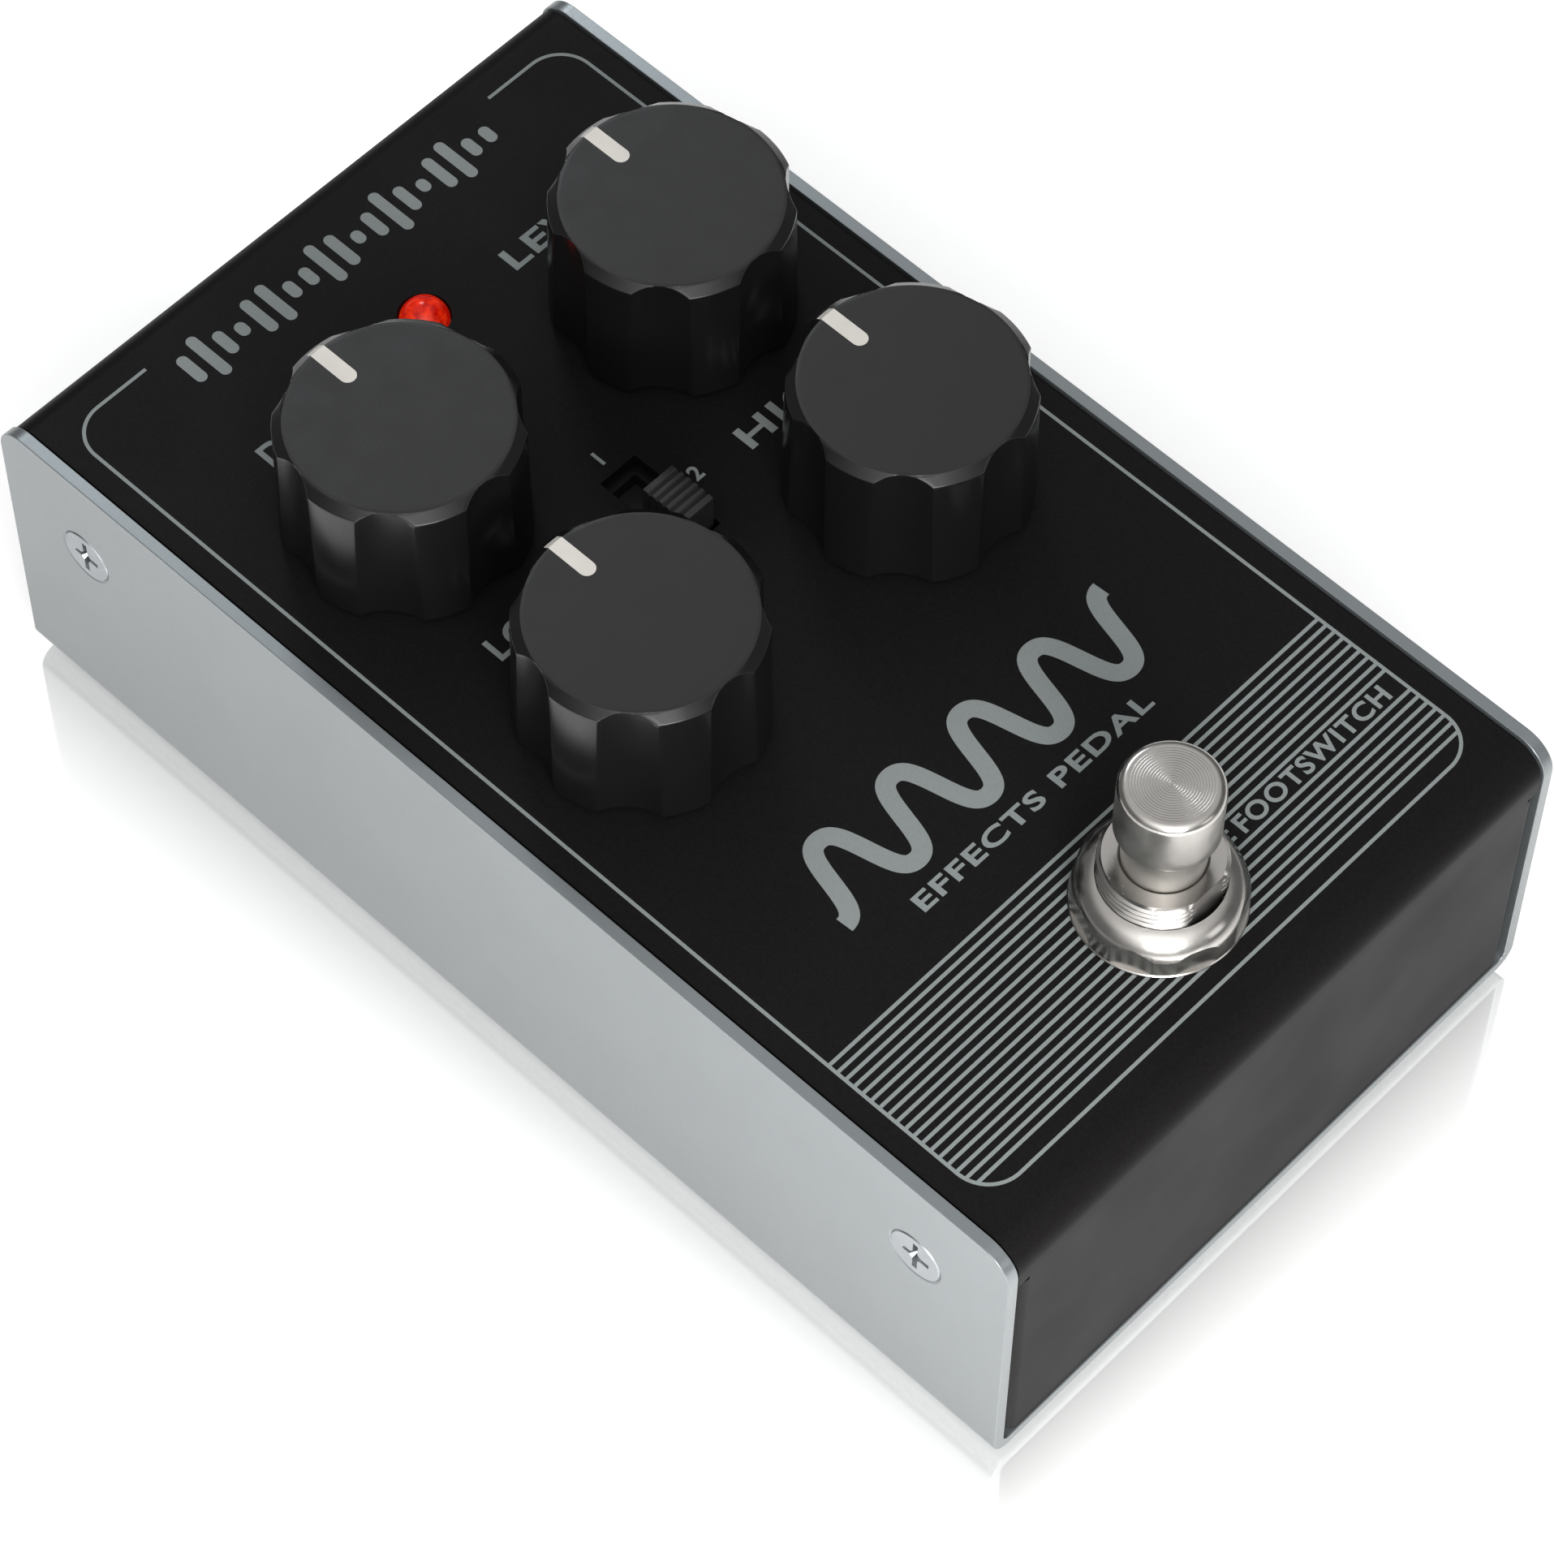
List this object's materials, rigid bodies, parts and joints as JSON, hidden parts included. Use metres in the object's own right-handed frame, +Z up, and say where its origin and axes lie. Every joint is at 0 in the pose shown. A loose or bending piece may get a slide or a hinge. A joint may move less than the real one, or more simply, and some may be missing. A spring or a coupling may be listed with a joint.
{
  "type": "guitar effects pedal",
  "caption": "Black and silver folded-metal guitar effects pedal with scalloped knobs, a slide switch, a red lamp and a press footswitch.",
  "frame": {"origin": "on the surface the pedal stands on, under the middle of its overall length and width, jack nuts included", "axes": "+Z up, +Y from the footswitch end to the jack end, +X to the right of the player who faces the jack end"},
  "size_m": [0.074, 0.132, 0.0575],
  "materials": {
    "satin_silver": "satin lacquered sheet, fine cross grain",
    "black_powder_coat": "fine-textured black powder coat",
    "screw_steel": "zinc plated",
    "foot_rubber": "matt black rubber",
    "knob_plastic": "satin black moulding with polished scallops",
    "pointer_white": "off-white inlay",
    "pot_metal": "bright zinc",
    "tinned_pins": "tinned",
    "switch_plastic": "matt black moulding",
    "slider_plastic": "matt black moulding with ribs",
    "lamp_red": "clear red epoxy, lit",
    "bright_nickel": "polished nickel",
    "phenolic_blue": "blue phenolic moulding",
    "circuit_board": "green solder mask",
    "lead_grey": "grey insulation",
    "capacitor_sleeve": "dark sleeve",
    "film_capacitor_box": "red box",
    "resistor_body": "blue lacquer",
    "jack_plastic": "black nylon",
    "contact_brass": "bright brass",
    "battery_case": "plain printed steel jacket",
    "foam": "closed-cell foam",
    "lead_red": "red insulation",
    "lead_black": "black insulation",
    "panel_ink": "grey screen print"
  },
  "bodies": {
    "case": {"base_chassis": "satin_silver", "top_cover": "black_powder_coat", "case_screws": "screw_steel", "rubber_feet": "foot_rubber", "pot_gain": "pot_metal", "pot_volume": "pot_metal", "pot_bass": "pot_metal", "pot_treble": "pot_metal", "pot_washers": "pot_metal", "pot_nuts": "pot_metal", "pot_pins": "tinned_pins", "slide_switch_body": "switch_plastic", "slide_switch_pins": "tinned_pins", "lamp_lens": "lamp_red", "lamp_spacer": "switch_plastic", "lamp_leads": "tinned_pins", "footswitch_bushing": "bright_nickel", "footswitch_washer": "bright_nickel", "footswitch_nut": "bright_nickel", "footswitch_lock_washer": "bright_nickel", "footswitch_lock_nut": "bright_nickel", "footswitch_body": "phenolic_blue", "footswitch_frame": "pot_metal", "footswitch_spring": "screw_steel", "footswitch_lugs": "tinned_pins", "footswitch_board": "circuit_board", "footswitch_leads": "lead_grey", "main_board": "circuit_board", "integrated_circuits": "switch_plastic", "electrolytic_capacitors": "capacitor_sleeve", "film_capacitors": "film_capacitor_box", "resistors": "resistor_body", "output_jack_body": "jack_plastic", "output_jack_contacts": "contact_brass", "input_jack_body": "jack_plastic", "input_jack_contacts": "contact_brass", "jack_washers": "bright_nickel", "jack_nuts": "bright_nickel", "power_inlet_body": "jack_plastic", "power_inlet_pin": "contact_brass", "battery": "battery_case", "battery_snap": "switch_plastic", "battery_pad": "foam", "battery_lead_red": "lead_red", "battery_lead_black": "lead_black"},
    "gain_control": {"knob_gain": "knob_plastic", "pointer_gain": "pointer_white", "shaft_gain": "pot_metal"},
    "volume_control": {"knob_volume": "knob_plastic", "pointer_volume": "pointer_white", "shaft_volume": "pot_metal"},
    "bass_control": {"knob_bass": "knob_plastic", "pointer_bass": "pointer_white", "shaft_bass": "pot_metal"},
    "treble_control": {"knob_treble": "knob_plastic", "pointer_treble": "pointer_white", "shaft_treble": "pot_metal"},
    "voice_slider": {"slide_switch_knob": "slider_plastic"},
    "footswitch": {"footswitch_plunger": "bright_nickel"}
  },
  "joints": [
    {"name": "gain_turn", "type": "hinge", "parent": "case", "child": "gain_control", "pos_m": [-0.0178, 0.0279, 0.038], "axis": [0, 0, 1], "range_deg": [-150, 150]},
    {"name": "volume_turn", "type": "hinge", "parent": "case", "child": "volume_control", "pos_m": [0.0178, 0.0279, 0.038], "axis": [0, 0, 1], "range_deg": [-150, 150]},
    {"name": "bass_turn", "type": "hinge", "parent": "case", "child": "bass_control", "pos_m": [-0.0178, -0.0029, 0.038], "axis": [0, 0, 1], "range_deg": [-150, 150]},
    {"name": "treble_turn", "type": "hinge", "parent": "case", "child": "treble_control", "pos_m": [0.0178, -0.0029, 0.038], "axis": [0, 0, 1], "range_deg": [-150, 150]},
    {"name": "voice_slide", "type": "slide", "parent": "case", "child": "voice_slider", "axis": [0, 1, 0], "range_m": [0, 0.00475]},
    {"name": "footswitch_press", "type": "slide", "parent": "case", "child": "footswitch", "axis": [0, 0, -1], "range_m": [0, 0.003], "stiffness_N_per_m": 1500, "springref_m": -0.002, "deforming": ["footswitch_spring"]}
  ]
}
